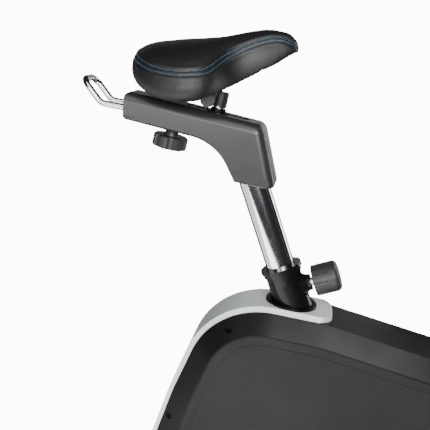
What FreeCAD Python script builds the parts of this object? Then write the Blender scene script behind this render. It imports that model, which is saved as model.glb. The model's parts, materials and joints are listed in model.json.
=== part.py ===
# Upright exercise bike: adjustable saddle on a chrome post, moulded drive cover, belt drive
# with flywheel, pedals, stabilisers, handlebar mast and console.
# Millimetres. Origin on the floor under the middle of the bike, +X to the front, +Y to the
# rider's left, +Z up.
import os
from math import acos, atan2, cos, hypot, pi, radians, sin, tan
import FreeCAD
import Part

V = FreeCAD.Vector

# Seat post and collar
RIM_X, RIM_Z = -160.0, 580.0       # centre of the collar's top rim
POST_LEAN = radians(18.37)         # the post leans back as it rises
POST_R, POST_BORE = 25.0, 22.5
POST_LOW, POST_HIGH = -300.0, 212.0    # ends of the post along its axis, from the rim
SLOT_LOW, SLOT_HIGH, SLOT_W = -145.0, 64.0, 10.6
PIN_LEVEL = -43.1                  # height pin, along the post from the rim
PIN_R, PIN_TIP, PIN_END = 4.9, 23.0, 62.0
COLLAR_BORE, COLLAR_R, COLLAR_FOOT_R = 29.05, 31.5, 34.0
RIM_R, RIM_T = 36.5, 7.0
FLANGE_DROP, FLANGE_T, FLANGE_TILT = 67.6, 5.0, radians(7.84)
FLANGE_LX, FLANGE_LY = 45.5, 42.0
BOSS_R, BOSS_END = 14.5, 43.0
KNOB_R, KNOB_BACK, KNOB_RIM, KNOB_DOME = 27.5, 48.9, 88.0, 94.3
TUBE_R, TUBE_BORE = 29.0, 27.0

# Seat arm
ARM_X, ARM_Z = -272.0, 847.5       # where the saddle stem's axis meets the arm's top
ARM_TILT = radians(13.1)           # the arm slopes down to the front
ARM_W, ARM_H, ARM_REAR = 78.0, 46.4, -152.0
ARM_NOSE_R, ARM_TOP_R, ARM_LOW_R = 19.0, 16.0, 8.0
ARM_END_R, SKIRT_STEP = 8.0, 1.0
SLIDE_TRAVEL = 42.0
STEM_R, SLEEVE_R = 10.5, 13.0
LOOP_R, LOOP_HALF, LOOP_BEND = 5.5, 29.0, 18.0
LOOP_START, LOOP_KNEE = (-125.0, -26.0), (-194.0, -30.0)   # along and above the arm
STAR_U, STAR_R, STAR_T = -70.0, 30.0, 21.0
STAR_LOBES, STAR_VALLEY, STAR_VALLEY_R = 7, 3.6, 8.0

# Saddle
PIVOT_UV = (-18.0, 19.0)           # cross bolt, along and above the arm from the stem
STEM_TOP, CLAMP_R, LUG_HALF = 34.0, 12.2, 17.0
PLATE_Z, PLATE_T, SHELL_T = 908.5, 5.0, 6.0

# Drive cover
COVER_HALF, COVER_SIDE = 50.0, 68.0
COVE_INSET, PANEL_INSET, GROOVE_INSET, COVER_WALL = 35.0, 38.0, 52.0, 3.0
RIDGE_R = 2.0
TRIM_HALF, TRIM_BEVEL = 43.5, 13.0

# Drive
CRANK_X, CRANK_Z, CRANK_LEN = 125.0, 290.0, 170.0
CRANK_ANGLE = radians(-12.0)       # right crank, measured up from the front
AXLE_R, SHELL_R, SHELL_BORE, SHELL_HALF = 10.0, 26.0, 20.05, 34.0
BELT_Y, BELT_W, BELT_T = 45.0, 9.0, 2.0
PULLEY_R, SMALL_PULLEY_R, IDLER_R = 98.0, 14.0, 18.0
FLY_X, FLY_Z, FLY_R, FLY_HALF = -265.0, 210.0, 112.0, 14.0
IDLER_RUN = 190.0                  # idler position along the belt's lower run
PEDAL_Y, PEDAL_L, PEDAL_W, PEDAL_H = 148.0, 98.0, 84.0, 24.0

# Main frame
SPINE_LOW, SPINE_HIGH, SPINE_HALF = 27.0, 69.0, 28.0
REAR_X, FRONT_X, STAB_Z, STAB_R, STAB_HALF = -512.0, 490.0, 48.0, 23.0, 195.0
FOOT_Y, REAR_FOOT_Y, FOOT_R = 160.0, 145.0, 22.0
WHEEL_X, WHEEL_Z, WHEEL_R, WHEEL_W = 526.0, 24.0, 18.0, 18.0
WHEEL_Y = 115.0

# Mast, handlebar and console
MAST_X, MAST_Z, MAST_TOP = 372.0, 69.0, 1120.0
MAST_LEAN = radians(5.0)
MAST_R, MAST_BORE = 27.5, 25.0
BAR_R, BAR_WALL, BAR_Z = 12.7, 2.0, 1052.0

AXIS = V(-sin(POST_LEAN), 0, cos(POST_LEAN))
OUT = V(cos(POST_LEAN), 0, sin(POST_LEAN))
RIM = V(RIM_X, 0, RIM_Z)
ARM = V(ARM_X, 0, ARM_Z)
ALONG = V(cos(ARM_TILT), 0, -sin(ARM_TILT))
UP = V(sin(ARM_TILT), 0, cos(ARM_TILT))
Y = V(0, 1, 0)
MAST_AXIS = V(-sin(MAST_LEAN), 0, cos(MAST_LEAN))
MAST_FOOT = V(MAST_X, 0, MAST_Z)


def save(name, shape):
    shape.exportStep("parts/" + name + ".step")
    box = shape.BoundBox
    print("%-22s solids %d valid %s vol %.0f  X %.0f %.0f Y %.0f %.0f Z %.0f %.0f" % (
        name, len(shape.Solids), shape.isValid(), shape.Volume,
        box.XMin, box.XMax, box.YMin, box.YMax, box.ZMin, box.ZMax))


def fuse(shapes):
    body = shapes[0]
    if len(shapes) > 1:
        body = body.multiFuse(shapes[1:]).removeSplitter()
    return body


def group(shapes):
    return Part.makeCompound(shapes)


def rod(radius, start, end):
    run = end - start
    return Part.makeCylinder(radius, run.Length, start, run)


def tube(outer, bore, start, end):
    return rod(outer, start, end).cut(rod(bore, start, end))


def cone(r_start, r_end, start, end):
    run = end - start
    return Part.makeCone(r_start, r_end, run.Length, start, run)


def cross_rod(radius, x, z, y_low, y_high):
    return rod(radius, V(x, y_low, z), V(x, y_high, z))


def cross_tube(outer, bore, x, z, y_low, y_high):
    return tube(outer, bore, V(x, y_low, z), V(x, y_high, z))


def block(x0, x1, y0, y1, z0, z1):
    return Part.makeBox(x1 - x0, y1 - y0, z1 - z0, V(x0, y0, z0))


def placed(shape, origin, x_dir, z_dir):
    """Move a shape drawn at the origin into the frame given by x_dir and z_dir."""
    y_dir = z_dir.cross(x_dir)
    m = FreeCAD.Matrix(
        x_dir.x, y_dir.x, z_dir.x, origin.x,
        x_dir.y, y_dir.y, z_dir.y, origin.y,
        x_dir.z, y_dir.z, z_dir.z, origin.z,
        0, 0, 0, 1)
    moved = shape.copy()
    moved.Placement = FreeCAD.Placement(m)
    return moved


def rounded_wire(corners, place):
    """Closed outline through (a, b, radius) corners; place turns (a, b) into a point."""
    count = len(corners)
    ends = []
    for i in range(count):
        a, b, r = corners[i]
        pa, pb = corners[i - 1][0] - a, corners[i - 1][1] - b
        na, nb = corners[(i + 1) % count][0] - a, corners[(i + 1) % count][1] - b
        lp, ln = hypot(pa, pb), hypot(na, nb)
        pa, pb, na, nb = pa / lp, pb / lp, na / ln, nb / ln
        half = acos(max(-1.0, min(1.0, pa * na + pb * nb))) / 2
        if r <= 0:
            ends.append(((a, b), None, (a, b)))
            continue
        back = r / tan(half)
        mid_a, mid_b = pa + na, pb + nb
        ml = hypot(mid_a, mid_b)
        reach = r / sin(half) - r
        ends.append(((a + pa * back, b + pb * back),
                     (a + mid_a / ml * reach, b + mid_b / ml * reach),
                     (a + na * back, b + nb * back)))
    edges = []
    for i in range(count):
        start, mid, end = ends[i]
        if mid is not None:
            edges.append(Part.Arc(place(*start), place(*mid), place(*end)).toShape())
        nxt = ends[(i + 1) % count][0]
        if hypot(nxt[0] - end[0], nxt[1] - end[1]) > 0.01:
            edges.append(Part.makeLine(place(*end), place(*nxt)))
    return Part.Wire(edges)


def slab(corners, y0, y1):
    """Prism across the bike from an outline in the X-Z plane."""
    wire = rounded_wire(corners, lambda a, b: V(a, y0, b))
    return Part.Face(wire).extrude(V(0, y1 - y0, 0))


def plan(corners, z0, z1):
    wire = rounded_wire(corners, lambda a, b: V(a, b, z0))
    return Part.Face(wire).extrude(V(0, 0, z1 - z0))


def box_outline(half_a, half_b, radius):
    return [(-half_a, -half_b, radius), (half_a, -half_b, radius),
            (half_a, half_b, radius), (-half_a, half_b, radius)]


def mirror(shape):
    return shape.mirror(V(0, 0, 0), Y)


def both(shape):
    return group([shape, mirror(shape)])


def pipe(radius, points, bend):
    """Round rod along a line of points with bends of one radius."""
    edges = []
    last = points[0]
    for i in range(1, len(points) - 1):
        p, q, s = points[i - 1], points[i], points[i + 1]
        u = (p - q).normalize()
        w = (s - q).normalize()
        half = u.getAngle(w) / 2
        back = bend / tan(half)
        start = q + u * back
        end = q + w * back
        mid = q + (u + w).normalize() * (bend / sin(half) - bend)
        edges.append(Part.makeLine(last, start))
        edges.append(Part.Arc(start, mid, end).toShape())
        last = end
    edges.append(Part.makeLine(last, points[-1]))
    path = Part.Wire(edges)
    first = (points[1] - points[0]).normalize()
    circle = Part.Wire([Part.makeCircle(radius, points[0], first)])
    return path.makePipeShell([circle], True, False)


def rel(x, z, r):
    """Outline corner placed from the collar's rim."""
    return (RIM_X + x, RIM_Z + z, r)


def arm_point(u, v, y=0.0):
    return ARM + ALONG * u + UP * v + Y * y


def post_point(s, t=0.0):
    return RIM + AXIS * s + OUT * t


# ---------------------------------------------------------------- seat post and collar

def seat_post():
    body = tube(POST_R, POST_BORE, post_point(POST_LOW), post_point(POST_HIGH))
    half = SLOT_W / 2
    slot = Part.makeBox(12, SLOT_W, SLOT_HIGH - SLOT_LOW, V(18, -half, SLOT_LOW))
    ends = [Part.makeCylinder(half, 12, V(18, 0, s), V(1, 0, 0)) for s in (SLOT_LOW, SLOT_HIGH)]
    return body.cut(placed(fuse([slot] + ends), RIM, OUT, AXIS))


def seat_collar():
    low = -FLANGE_DROP - 14.0
    body = fuse([
        rod(COLLAR_R, post_point(-30), post_point(0)),
        cone(COLLAR_FOOT_R, COLLAR_R, post_point(low), post_point(-30)),
        rod(RIM_R, post_point(-RIM_T), post_point(0)),
        rod(RIM_R - 2.5, post_point(-RIM_T - 7), post_point(-RIM_T)),
        rod(BOSS_R, post_point(PIN_LEVEL, 20), post_point(PIN_LEVEL, BOSS_END)),
        cone(BOSS_R + 8, BOSS_R, post_point(PIN_LEVEL, 24), post_point(PIN_LEVEL, BOSS_END - 5)),
    ])
    body = body.cut(rod(COLLAR_BORE, post_point(low - 1), post_point(-3)))
    body = body.cut(rod(POST_R + 0.5, post_point(-4), post_point(1)))
    return body.cut(rod(PIN_R + 0.06, post_point(PIN_LEVEL, 0), post_point(PIN_LEVEL, 60)))


def collar_flange():
    centre = post_point(-FLANGE_DROP)
    up = V(sin(FLANGE_TILT), 0, cos(FLANGE_TILT))
    ahead = V(cos(FLANGE_TILT), 0, -sin(FLANGE_TILT))
    oval = Part.Ellipse(V(0, 0, 0), FLANGE_LX, FLANGE_LY).toShape()
    plate = Part.Face(Part.Wire([oval])).extrude(V(0, 0, FLANGE_T))
    plate = plate.makeFillet(1.6, [plate.Edges[i] for i in range(len(plate.Edges))
                                   if plate.Edges[i].BoundBox.ZMin > FLANGE_T - 0.1])
    plate = placed(plate, centre - up * FLANGE_T, ahead, up)
    return plate.cut(rod(COLLAR_FOOT_R + 0.3, post_point(-140), post_point(20)))


def post_bush():
    bore = POST_R + 0.06
    body = tube(TUBE_BORE - 0.02, bore, post_point(-150), post_point(-3.1))
    return body.cut(rod(PIN_R + 0.5, post_point(PIN_LEVEL, 0), post_point(PIN_LEVEL, 60)))


def height_plunger():
    stem = rod(PIN_R, post_point(PIN_LEVEL, PIN_TIP), post_point(PIN_LEVEL, PIN_END))
    neck = rod(6.6, post_point(PIN_LEVEL, BOSS_END + 0.4), post_point(PIN_LEVEL, KNOB_BACK + 4))
    return stem.fuse(neck).removeSplitter()


def grip_groove(angle):
    """Shallow groove in the shape of a U, cut into the side of the height knob."""
    deep = KNOB_R - 1.3
    half, inner = 4.6, 2.6
    start, end = KNOB_BACK - 1, KNOB_RIM - 12
    outer = Part.makeBox(6, 2 * half, end - start, V(deep, -half, start))
    outer = outer.fuse(Part.makeCylinder(half, 6, V(deep, 0, end), V(1, 0, 0)))
    core = Part.makeBox(6, 2 * inner, end - start - 4, V(deep, -inner, start))
    core = core.fuse(Part.makeCylinder(inner, 6, V(deep, 0, end - 4), V(1, 0, 0)))
    groove = outer.cut(core)
    groove.rotate(V(0, 0, 0), V(0, 0, 1), angle)
    return groove


def height_knob():
    body = Part.makeCylinder(KNOB_R, KNOB_DOME - KNOB_BACK, V(0, 0, KNOB_BACK))
    front = [e for e in body.Edges if e.BoundBox.ZMin > KNOB_DOME - 0.1]
    body = body.makeFillet(9.0, front)
    body = body.makeFillet(1.5, [e for e in body.Edges if e.BoundBox.ZMax < KNOB_BACK + 0.1])
    for i in range(8):
        body = body.cut(grip_groove(45 * i))
    body = placed(body, post_point(PIN_LEVEL), AXIS, OUT)
    bore = rod(PIN_R + 0.02, post_point(PIN_LEVEL, KNOB_BACK - 1), post_point(PIN_LEVEL, PIN_END + 0.1))
    recess = rod(6.7, post_point(PIN_LEVEL, KNOB_BACK - 1), post_point(PIN_LEVEL, KNOB_BACK + 4.1))
    return body.cut(bore).cut(recess)


# ---------------------------------------------------------------- seat arm and slide

def arm_outline():
    """Side view of the arm in (x, z): level part, nose and socket neck."""
    rear_top = arm_point(ARM_REAR - 4, 0)
    rear_low = arm_point(ARM_REAR + 2, -ARM_H)
    return [(rear_top.x, rear_top.z, 0), rel(-32, 249, ARM_NOSE_R), rel(-9, 141, 0),
            rel(-80, 154, 0), rel(-111, 219.5, 88), (rear_low.x, rear_low.z, 0)]


def arm_edges(body, upper):
    """Long side edges of the arm: over the top and nose, or under the arm and neck."""
    found = []
    for edge in body.Edges:
        mid = edge.CenterOfMass
        if abs(abs(mid.y) - ARM_W / 2) > 0.01 or edge.BoundBox.YLength > 0.01:
            continue
        if (mid - ARM).dot(ALONG) < ARM_REAR + 3 or (mid - RIM).dot(AXIS) < 152:
            continue
        over = (mid - ARM).dot(UP) > -20 or (mid - RIM).dot(OUT) > 20
        if over == upper:
            found.append(edge)
    return found


def arm_end_mask():
    """Everything in front of the arm's rounded rear end."""
    top, low = arm_point(ARM_REAR - 4, 0), arm_point(ARM_REAR + 2, -ARM_H)
    ahead_top, ahead_low = arm_point(200, 0), arm_point(200, -ARM_H)
    outline = [(top.x, top.z, ARM_END_R), (ahead_top.x, ahead_top.z, 0),
               (RIM_X + 60, RIM_Z, 0), (RIM_X - 160, RIM_Z, 0),
               (arm_point(-80, -ARM_H).x, arm_point(-80, -ARM_H).z, 0),
               (low.x, low.z, ARM_END_R)]
    return slab(outline, -ARM_W, ARM_W)


def skirt_recess():
    """Shallow step in the arm's side below the crease, and another around its lower hem."""
    skirt = [rel(-300, 266, 0), rel(-150, 244, 200), rel(-62, 235, 22), rel(-49, 177, 0),
             rel(-52, 171, 0), rel(-120, 171, 60), rel(-130, 205, 0), rel(-300, 235, 0)]
    hem = [rel(-100, 172, 0), rel(-42, 166, 60), rel(-4, 153, 0), rel(-4, 130, 0),
           rel(-100, 130, 0)]
    face = ARM_W / 2
    cut = [slab(skirt, face - SKIRT_STEP, face + 5), slab(hem, face - 2 * SKIRT_STEP, face + 5)]
    return group(cut + [mirror(c) for c in cut])


def seat_arm():
    half = ARM_W / 2
    body = slab(arm_outline(), -half, half)
    body = body.makeFillet(ARM_TOP_R, arm_edges(body, True))
    body = body.makeFillet(ARM_LOW_R, arm_edges(body, False))
    body = body.common(arm_end_mask()).cut(skirt_recess())
    # square channel for the slide, open at the rear
    channel = Part.makeBox(-ARM_REAR + 90, 71.0, 28.0, V(ARM_REAR - 20, -35.5, -36.5))
    body = body.cut(placed(channel, ARM, ALONG, UP))
    slot_half = STEM_R + 3.0
    slot = Part.makeBox(2 * SLIDE_TRAVEL, 2 * slot_half, 40, V(-SLIDE_TRAVEL, -slot_half, -20))
    ends = [Part.makeCylinder(slot_half, 40, V(u, 0, -20)) for u in (-SLIDE_TRAVEL, SLIDE_TRAVEL)]
    body = body.cut(placed(fuse([slot] + ends), ARM, ALONG, UP))
    body = body.cut(rod(4.06, arm_point(STAR_U, -80), arm_point(STAR_U, -20)))
    return body.cut(rod(POST_R + 0.02, post_point(100), post_point(POST_HIGH + 0.1)))


def arm_slide_rail():
    bar = Part.makeBox(175, 70.0, 27.0, V(-150, -35.0, -36.0))
    pocket = Part.makeBox(160, 46.0, 19.0, V(-155, -23.0, -32.0))
    body = placed(bar.cut(pocket), ARM, ALONG, UP)
    for y in (-LOOP_HALF, LOOP_HALF):
        start, knee = arm_point(*LOOP_START, y), arm_point(*LOOP_KNEE, y)
        body = body.cut(rod(LOOP_R + 0.02, start + (start - knee) * 0.03, knee))
    return body.cut(rod(STEM_R + 0.02, arm_point(0, -33), arm_point(0, 5)))


def loop_handle():
    """Bent rod fixed in the rear of the slide: two legs, then a loop that rises to the rear."""
    tip = V(RIM_X - 337, 0, RIM_Z + 322)
    points = []
    for y in (-LOOP_HALF, LOOP_HALF):
        points.append([arm_point(*LOOP_START, y), arm_point(*LOOP_KNEE, y), tip + Y * y])
    return pipe(LOOP_R, points[0] + points[1][::-1], LOOP_BEND)


def star_knob():
    under = -ARM_H - 1.5
    screw = rod(4.0, arm_point(STAR_U, -36.8), arm_point(STAR_U, under - 30))
    neck = cone(13.0, 10.0, arm_point(STAR_U, under - 11), arm_point(STAR_U, under))
    disc = Part.makeCylinder(STAR_R, STAR_T, V(0, 0, -STAR_T))
    disc = disc.makeFillet(2.5, [e for e in disc.Edges if e.BoundBox.ZLength < 0.1])
    for i in range(STAR_LOBES):
        angle = 2 * pi * (i + 0.5) / STAR_LOBES
        reach = STAR_R + STAR_VALLEY_R - STAR_VALLEY
        disc = disc.cut(Part.makeCylinder(
            STAR_VALLEY_R, 60, V(reach * cos(angle), reach * sin(angle), -40)))
    disc = placed(disc, arm_point(STAR_U, under - 11), ALONG, UP)
    return fuse([screw, neck, disc])


# ---------------------------------------------------------------- saddle

def saddle_pivot():
    return arm_point(*PIVOT_UV)


def saddle_stem():
    return rod(STEM_R, arm_point(0, -32.5), arm_point(0, STEM_TOP))


def stem_collar():
    """Short sleeve around the stem where it leaves the arm, on a thin washer."""
    washer = tube(SLEEVE_R + 6, STEM_R + 0.05, arm_point(0, 0.4), arm_point(0, 1.6))
    sleeve = tube(SLEEVE_R, STEM_R + 0.05, arm_point(0, 1.0), arm_point(0, 6.5))
    return fuse([washer, sleeve])


def saddle_clamp():
    """Collar on the stem with a lug behind it for the cross bolt."""
    ring = rod(CLAMP_R, arm_point(0, 10), arm_point(0, STEM_TOP))
    lug = placed(Part.makeBox(22, 2 * LUG_HALF, 19, V(-29, -LUG_HALF, 10)), ARM, ALONG, UP)
    body = fuse([ring, lug])
    p = saddle_pivot()
    body = body.cut(rod(STEM_R + 0.02, arm_point(0, 5), arm_point(0, STEM_TOP + 5)))
    return body.cut(cross_rod(5.06, p.x, p.z, -30, 30))


def clamp_bolt():
    p = saddle_pivot()
    shank = cross_rod(5.0, p.x, p.z, -27, 27)
    nuts = [cross_rod(12.5, p.x, p.z, y, y + 6) for y in (-28.8, 22.8)]
    return fuse([shank] + nuts)


def saddle_bracket():
    """Two ears on the cross bolt that carry the plate under the saddle's shell."""
    p = saddle_pivot()
    ears = []
    for low in (-LUG_HALF - 5.4, LUG_HALF + 0.4):
        ear = slab([(p.x - 11, p.z, 0), (p.x + 11, p.z, 0), (p.x + 34, PLATE_Z + 1, 0),
                    (p.x - 16, PLATE_Z + 1, 0)], low, low + 5)
        ear = ear.fuse(cross_rod(11.0, p.x, p.z, low, low + 5))
        ears.append(ear.cut(cross_rod(5.06, p.x, p.z, -30, 30)))
    plate = plan([(p.x - 45, -38, 14), (p.x + 44, -23, 8), (p.x + 44, 23, 8),
                  (p.x - 45, 38, 14)], PLATE_Z, PLATE_Z + PLATE_T)
    return fuse(ears + [plate])


# Saddle sections from the rear: along, half width, top, seam height, lower edge
SADDLE_LEVELS = [
    (-254, 24, 360, 352, 322), (-246, 47, 371, 351, 315), (-230, 76, 380, 348, 307),
    (-200, 102, 387, 342, 298), (-158, 110, 389, 337, 292), (-125, 100, 388, 339, 295),
    (-106, 78, 388, 349, 302), (-88, 53, 391, 361, 311), (-60, 39, 398, 376, 326),
    (-30, 32, 402, 385, 341), (-5, 24, 398, 386, 354), (12, 13, 388, 379, 361),
    (20, 4, 375, 371, 366),
]
POCKET_CORNERS = [(-236, 50, 14), (-206, 82, 20), (-150, 90, 20), (-118, 78, 14),
                  (-90, 34, 14), (-66, 20, 12)]


def saddle_section(x, half, top, seam, low):
    """Closed cross-section: domed top down to the seam, upright sides, flat underside."""
    side = [(0, top), (0.45, top - 0.16 * (top - seam)), (0.8, top - 0.5 * (top - seam)),
            (0.97, seam + 0.12 * (top - seam)), (1.0, seam - 0.3 * (seam - low)),
            (0.97, low + 0.3 * (seam - low)), (0.86, low + 1.0), (0.5, low)]
    pts = [V(RIM_X + x, half * y, RIM_Z + z) for y, z in side]
    pts.append(V(RIM_X + x, 0, RIM_Z + low))
    pts += [V(RIM_X + x, -half * y, RIM_Z + z) for y, z in side[:0:-1]]
    curve = Part.BSplineCurve()
    curve.interpolate(pts, PeriodicFlag=True)
    return Part.Wire([curve.toShape()])


def saddle_pocket(shrink, z0, z1):
    """Space inside the pad's skirt for the shell and bracket."""
    near = [(RIM_X + x, -(y - shrink), r) for x, y, r in POCKET_CORNERS]
    far = [(x, -y, r) for x, y, r in near[::-1]]
    return plan(near + far, z0, z1)


def saddle_cushion():
    wires = [saddle_section(*level) for level in SADDLE_LEVELS]
    body = Part.makeLoft(wires, True, False)
    return body.cut(saddle_pocket(0, 800, PLATE_Z + PLATE_T + SHELL_T + 0.6))


def saddle_base():
    """Plastic shell that the pad is moulded on."""
    low = PLATE_Z + PLATE_T + 0.1
    return saddle_pocket(0.4, low, low + SHELL_T)


# ---------------------------------------------------------------- drive cover

COVER_CORNERS = [rel(-285, -501, 45), rel(-188, -235, 300), rel(-108.6, -57.6, 136),
                 rel(85, -87, 160), rel(325, -154, 110), rel(430, -112, 60),
                 rel(562, -100, 60), rel(592, -501, 60)]
TRIM_CORNERS = [rel(-296, -505, 10), rel(-196, -232, 300), rel(-114, -48, 145),
                rel(94, -79, 6), rel(94, -140, 0), rel(0, -300, 0), rel(-100, -505, 0)]


def inset_face(corners, inset, y):
    face = Part.Face(rounded_wire(corners, lambda a, b: V(a, y, b)))
    if inset == 0:
        return face
    return Part.Face(face.OuterWire.makeOffset2D(-inset, 0, False, False))


def inset_prism(corners, inset, y0, y1):
    return inset_face(corners, inset, y0).extrude(V(0, y1 - y0, 0))


def cove(corners, inset0, y0, inset1, y1):
    first = inset_face(corners, inset0, y0).OuterWire
    last = inset_face(corners, inset1, y1).OuterWire
    return Part.makeLoft([first, last], True, True)


def cover_solid(shrink):
    """Left-hand half of the cover's outer form, shrunk evenly for the inside."""
    edge = COVER_HALF - shrink * 0.5
    side = COVER_SIDE - shrink
    return fuse([inset_prism(COVER_CORNERS, shrink, 0, edge),
                 cove(COVER_CORNERS, shrink, edge, COVE_INSET + shrink, side)])


SCREWS = [rel(-84, -103, 0), rel(-195, -284, 0), rel(-243, -425, 0), rel(569, -390, 0),
          rel(549, -172, 0)]
SCREW_SEAT = 52.0


def rounded_ridge(body):
    """Rounds the edge where the cove meets the flat side."""
    ridge = [e for e in body.Edges if e.BoundBox.YMin > COVER_SIDE - 0.1]
    return body.makeFillet(RIDGE_R, ridge)


def cover_half():
    body = cover_solid(0).cut(cover_solid(COVER_WALL))
    for x, z, _ in SCREWS:
        body = body.fuse(cross_rod(7.5, x, z, 30, SCREW_SEAT + 3))
    body = body.common(rounded_ridge(cover_solid(0)))
    for x, z, _ in SCREWS:
        body = body.cut(cross_rod(6.2, x, z, SCREW_SEAT, 90))
        body = body.cut(cross_rod(3.1, x, z, 29, SCREW_SEAT + 1))
    pocket = inset_prism(COVER_CORNERS, PANEL_INSET, COVER_SIDE - 1.6, COVER_SIDE + 5)
    backing = inset_prism(COVER_CORNERS, PANEL_INSET - 1, COVER_SIDE - 4.6, COVER_SIDE - 1.6)
    body = body.fuse(backing).cut(pocket)
    body = body.cut(cross_rod(25, CRANK_X, CRANK_Z, 40, 90))
    body = body.cut(block(-500, 500, -1, 0.15, 0, 600))
    opening = block(-330, 420, -40, 40, 60, 95)
    neck = rod(TUBE_R + 1.0, post_point(-560), post_point(40))
    mast = rod(31.5, MAST_FOOT, MAST_FOOT + MAST_AXIS * 600)
    collar = rod(COLLAR_FOOT_R + 1.0, post_point(-120), post_point(20))
    return body.cut(opening).cut(neck).cut(mast).cut(collar).removeSplitter()


def trim_band():
    bevel = cove(TRIM_CORNERS, 0, TRIM_HALF, TRIM_BEVEL, COVER_HALF)
    full = fuse([inset_prism(TRIM_CORNERS, 0, -TRIM_HALF, TRIM_HALF), bevel, mirror(bevel)])
    body = full.cut(inset_prism(COVER_CORNERS, -0.3, -60, 60))
    low, high = RIM_Z - 440, RIM_Z
    body = body.common(block(-600, RIM_X + 110, -60, 60, low, high))
    tongue = plan([(-600, -52, 0), (RIM_X + 94, -52, 40), (RIM_X + 94, 52, 40), (-600, 52, 0)],
                  0, 700)
    body = body.common(tongue)
    return body.cut(rod(COLLAR_FOOT_R + 0.6, post_point(-120), post_point(20)))


def flange_space():
    centre = post_point(-FLANGE_DROP)
    up = V(sin(FLANGE_TILT), 0, cos(FLANGE_TILT))
    ahead = V(cos(FLANGE_TILT), 0, -sin(FLANGE_TILT))
    oval = Part.Ellipse(V(0, 0, 0), FLANGE_LX + 0.4, FLANGE_LY + 0.4).toShape()
    plate = Part.Face(Part.Wire([oval])).extrude(V(0, 0, 60))
    return placed(plate, centre - up * (FLANGE_T + 0.1), ahead, up)


def inset_panel():
    plate = inset_prism(COVER_CORNERS, PANEL_INSET + 0.1, COVER_SIDE - 1.5, COVER_SIDE)
    groove = inset_prism(COVER_CORNERS, GROOVE_INSET, COVER_SIDE - 0.8, COVER_SIDE + 1)
    groove = groove.cut(inset_prism(COVER_CORNERS, GROOVE_INSET + 1.3, COVER_SIDE - 2, COVER_SIDE + 2))
    plate = plate.cut(groove)
    return plate.cut(cross_rod(25, CRANK_X, CRANK_Z, 40, 90))


def cover_screws():
    screws = []
    for x, z, _ in SCREWS:
        screw = cross_rod(5.8, x, z, SCREW_SEAT + 0.05, SCREW_SEAT + 3)
        screw = screw.fuse(cross_rod(3.0, x, z, 34, SCREW_SEAT + 0.1))
        slot = [Part.makeBox(7, 4, 1.4, V(x - 3.5, SCREW_SEAT + 1.6, z - 0.7)),
                Part.makeBox(1.4, 4, 7, V(x - 0.7, SCREW_SEAT + 1.6, z - 3.5))]
        screw = screw.cut(slot[0]).cut(slot[1])
        screws.append(screw.removeSplitter())
        screws.append(mirror(screw.removeSplitter()))
    return group(screws)


# ---------------------------------------------------------------- main frame

def spine_tube():
    outer = block(REAR_X + STAB_R - 4, FRONT_X - STAB_R + 4, -SPINE_HALF, SPINE_HALF,
                  SPINE_LOW, SPINE_HIGH)
    inner = block(REAR_X, FRONT_X, -SPINE_HALF + 3, SPINE_HALF - 3, SPINE_LOW + 3, SPINE_HIGH - 3)
    body = outer.cut(inner)
    for x in (REAR_X, FRONT_X):
        body = body.cut(cross_rod(STAB_R + 0.1, x, STAB_Z, -60, 60))
    return body


def seat_tube():
    low = (SPINE_HIGH - RIM_Z) / cos(POST_LEAN) - 30
    body = tube(TUBE_R, TUBE_BORE, post_point(low), post_point(-3.05))
    body = body.cut(block(-300, 300, -60, 60, -50, SPINE_HIGH))
    return body.cut(rod(PIN_R + 0.5, post_point(PIN_LEVEL, 0), post_point(PIN_LEVEL, 60)))


def crank_bracket():
    shell = cross_tube(SHELL_R, SHELL_BORE, CRANK_X, CRANK_Z, -SHELL_HALF, SHELL_HALF)
    post = slab([(CRANK_X - 34, SPINE_HIGH, 0), (CRANK_X + 34, SPINE_HIGH, 0),
                 (CRANK_X + 20, CRANK_Z, 0), (CRANK_X - 20, CRANK_Z, 0)], -20, 20)
    core = slab([(CRANK_X - 31, SPINE_HIGH - 1, 0), (CRANK_X + 31, SPINE_HIGH - 1, 0),
                 (CRANK_X + 17, CRANK_Z, 0), (CRANK_X - 17, CRANK_Z, 0)], -17, 17)
    post = post.cut(core)
    post = post.cut(cross_rod(SHELL_R - 0.5, CRANK_X, CRANK_Z, -60, 60))
    z = CRANK_Z - 25
    s = (z - RIM_Z) / cos(POST_LEAN)
    strut = rod(14, post_point(s, 20), V(CRANK_X - 16, 0, CRANK_Z - 14))
    strut = strut.cut(rod(TUBE_R + 0.05, post_point(-500), post_point(0)))
    strut = strut.cut(cross_rod(SHELL_R - 0.5, CRANK_X, CRANK_Z, -60, 60))
    return fuse([shell, post, strut])


def idler_centre():
    """Point where the idler just touches the belt's lower run from outside."""
    dx, dz = FLY_X - CRANK_X, FLY_Z - CRANK_Z
    base = atan2(dz, dx)
    inner = PULLEY_R - BELT_T
    spread = acos((inner - SMALL_PULLEY_R) / hypot(dx, dz))
    angle = base + spread
    reach = inner + 0.3 + BELT_T + 0.3 + IDLER_R
    return (CRANK_X + reach * cos(angle) + IDLER_RUN * sin(angle),
            CRANK_Z + reach * sin(angle) - IDLER_RUN * cos(angle))


def flywheel_brackets():
    plate = slab([(FLY_X - 30, SPINE_HIGH - 24, 4), (FLY_X + 30, SPINE_HIGH - 24, 4),
                  (FLY_X + 14, FLY_Z + 15, 12), (FLY_X - 14, FLY_Z + 15, 12)], 28.1, 33)
    left = plate.cut(cross_rod(10.2, FLY_X, FLY_Z, 20, 40))
    right = mirror(plate.cut(cross_rod(8.03, FLY_X, FLY_Z, 20, 40)))
    x, z = idler_centre()
    idler = slab([(x - 18, SPINE_HIGH - 24, 4), (x + 18, SPINE_HIGH - 24, 4),
                  (x + 10, z + 12, 9), (x - 10, z + 12, 9)], 28.1, 33)
    idler = idler.fuse(cross_rod(6.0, x, z, 30, BELT_Y + 6)).removeSplitter()
    return group([left, right, idler, flywheel_axle()] + brake_mount())


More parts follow.
